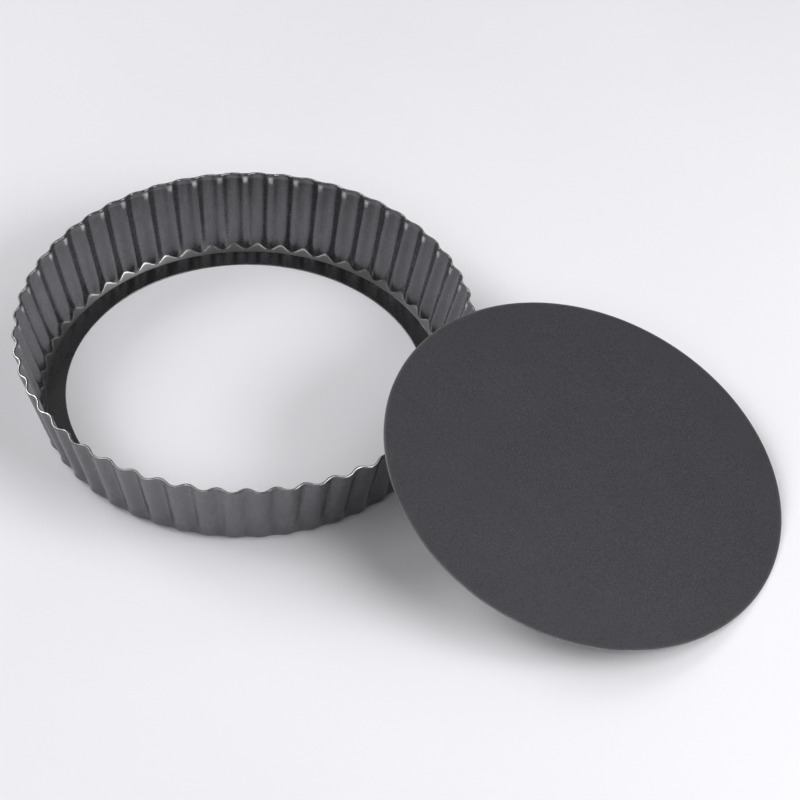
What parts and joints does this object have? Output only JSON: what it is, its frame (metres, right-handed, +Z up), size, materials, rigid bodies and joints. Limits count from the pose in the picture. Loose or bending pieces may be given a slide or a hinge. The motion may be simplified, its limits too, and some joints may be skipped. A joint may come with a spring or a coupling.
{
  "type": "tart pan",
  "caption": "Round fluted tart pan with a loose base: a sloping fluted ring with an inward ledge, and a flat disc that leans on its rim and lifts off.",
  "frame": {"origin": "centre of the ring's push-up hole at its underside, which is the face that the pan stands on", "axes": "+Z up along the ring's axis, +X towards the leaning base, its tilt lying in the XZ plane"},
  "size_m": [0.4286, 0.2496, 0.0597],
  "materials": {
    "ring_coat": "satin dark grey non-stick coat",
    "base_coat": "matt speckled dark grey non-stick coat"
  },
  "bodies": {
    "ring": {"fluted_ring": "ring_coat"},
    "base": {"loose_base": "base_coat"}
  },
  "joints": [
    {"name": "base_lift", "type": "slide", "parent": "ring", "child": "base", "axis": [0, 0, 1], "range_m": [0, 0.05]}
  ]
}
